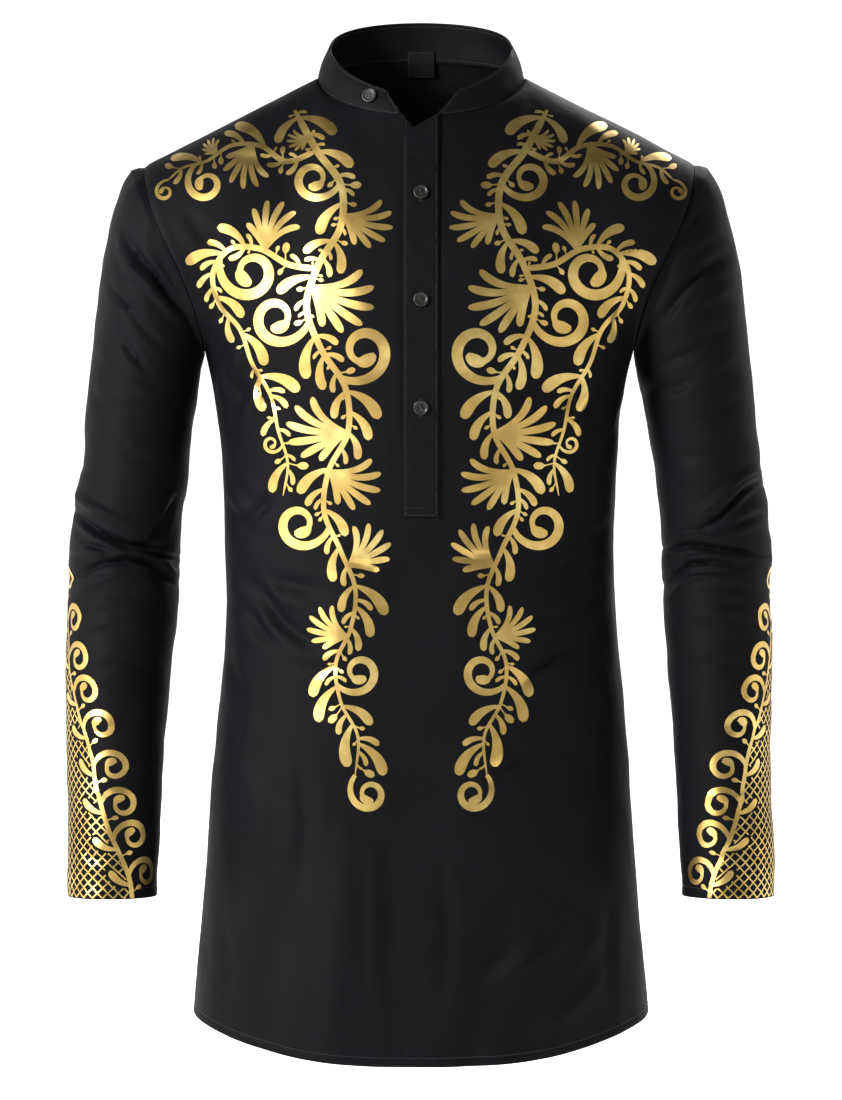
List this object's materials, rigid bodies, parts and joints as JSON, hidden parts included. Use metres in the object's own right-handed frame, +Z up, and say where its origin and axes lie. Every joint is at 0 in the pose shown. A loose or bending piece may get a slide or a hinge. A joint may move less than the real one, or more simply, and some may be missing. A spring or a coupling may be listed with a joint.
{
  "type": "band-collar tunic shirt",
  "caption": "Long-sleeved tunic shirt with a band collar and half placket, filled out as worn, open at neck, cuffs and hem.",
  "frame": {"origin": "middle of the neck at the height of the shoulders, where the wearer's neck and shoulders hold the shirt", "axes": "+Z up, -Y towards the front of the shirt, +X towards the right as seen from the front"},
  "size_m": [0.597, 0.2364, 0.881],
  "materials": {
    "cloth": "black cotton-rich poplin, fine plain weave, soft sheen, matt",
    "foil": "gold foil print, bright, slightly uneven sheen",
    "button": "black four-hole shirt button, polished rim",
    "label": "black woven tape, bare"
  },
  "bodies": {
    "root": {"front_body": "cloth", "back_body": "cloth", "sleeve_left": "cloth", "sleeve_right": "cloth", "collar_band": "cloth", "placket_over": "cloth", "placket_under": "cloth", "button_collar": "button", "button_top": "button", "button_middle": "button", "button_low": "button", "neck_label": "label"}
  },
  "joints": []
}
